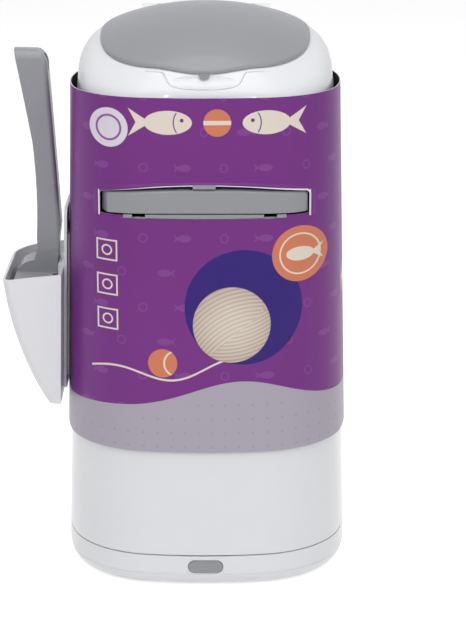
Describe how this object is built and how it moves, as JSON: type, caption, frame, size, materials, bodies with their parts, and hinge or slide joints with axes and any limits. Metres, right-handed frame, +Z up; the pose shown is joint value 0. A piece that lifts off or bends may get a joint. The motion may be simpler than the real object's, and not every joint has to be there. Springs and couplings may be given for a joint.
{
  "type": "litter disposal pail",
  "caption": "Litter disposal pail with a tilting tapered shell, hinged top lid, push-pull bag clamp handle, printed sleeve and a side holder with scoop.",
  "frame": {"origin": "on the floor, under the middle of the pail without its side holder", "axes": "+X to the right seen from the front, +Y to the back, +Z up; the handle faces -Y"},
  "size_m": [0.3021, 0.2328, 0.4943],
  "materials": {
    "white_plastic": "satin moulded polypropylene",
    "gray_plastic": "satin moulded polypropylene",
    "dark_plastic": "matt moulded",
    "printed_board": "printed board with satin varnish",
    "steel": "plated",
    "soft_rubber": "matt",
    "foam": "foam tape",
    "film": "thin multi-layer film"
  },
  "bodies": {
    "base": {"base_tray": "white_plastic", "foot_ring": "soft_rubber", "base_hinge_lugs": "white_plastic", "tilt_hinge_pins": "steel", "button_spring": "steel"},
    "button": {"release_button": "gray_plastic"},
    "shell": {"pail_shell": "white_plastic", "shell_hinge_lugs": "white_plastic", "window_clip": "gray_plastic", "top_dome": "white_plastic", "display_sleeve": "printed_board", "lid_hinge_pin": "steel", "handle_sill": "gray_plastic", "fixed_jaw": "dark_plastic", "fixed_jaw_seal": "soft_rubber", "guide_rail_right": "dark_plastic", "guide_rail_left": "dark_plastic", "clamp_deck": "dark_plastic", "deck_screws": "steel", "cartridge_seat": "gray_plastic", "seat_screws": "steel", "cartridge_tub": "white_plastic", "cartridge_cover": "gray_plastic", "film_pack": "film", "bag_film": "film", "holder_bracket": "white_plastic", "holder_pad": "foam"},
    "lid": {"lid_shell": "gray_plastic", "lid_liner": "white_plastic", "lid_seal": "soft_rubber", "lid_catch": "gray_plastic"},
    "clamp": {"handle_bar": "gray_plastic", "handle_screws": "steel", "clamp_carriage": "dark_plastic", "moving_jaw_seal": "soft_rubber"},
    "holder": {"scoop_holder": "white_plastic"},
    "scoop_body": {"scoop": "gray_plastic"}
  },
  "joints": [
    {"name": "shell_tilt", "type": "hinge", "parent": "base", "child": "shell", "pos_m": [0, 0.116, 0.033], "axis": [-1, 0, 0], "range_deg": [0, 70]},
    {"name": "lid_hinge", "type": "hinge", "parent": "shell", "child": "lid", "pos_m": [0, 0.084, 0.4825], "axis": [-1, 0, 0], "range_deg": [0, 100]},
    {"name": "handle_slide", "type": "slide", "parent": "shell", "child": "clamp", "axis": [0, -1, 0], "range_m": [0, 0.06]},
    {"name": "button_press", "type": "slide", "parent": "base", "child": "button", "axis": [0, 1, 0], "range_m": [0, 0.003], "stiffness_N_per_m": 400, "springref_m": -0.004, "deforming": ["button_spring"]},
    {"name": "holder_lift", "type": "slide", "parent": "shell", "child": "holder", "axis": [0.025, 0, 0.9997], "range_m": [0, 0.13]},
    {"name": "scoop_lift", "type": "slide", "parent": "holder", "child": "scoop_body", "axis": [0.025, 0, 0.9997], "range_m": [0, 0.16]}
  ]
}
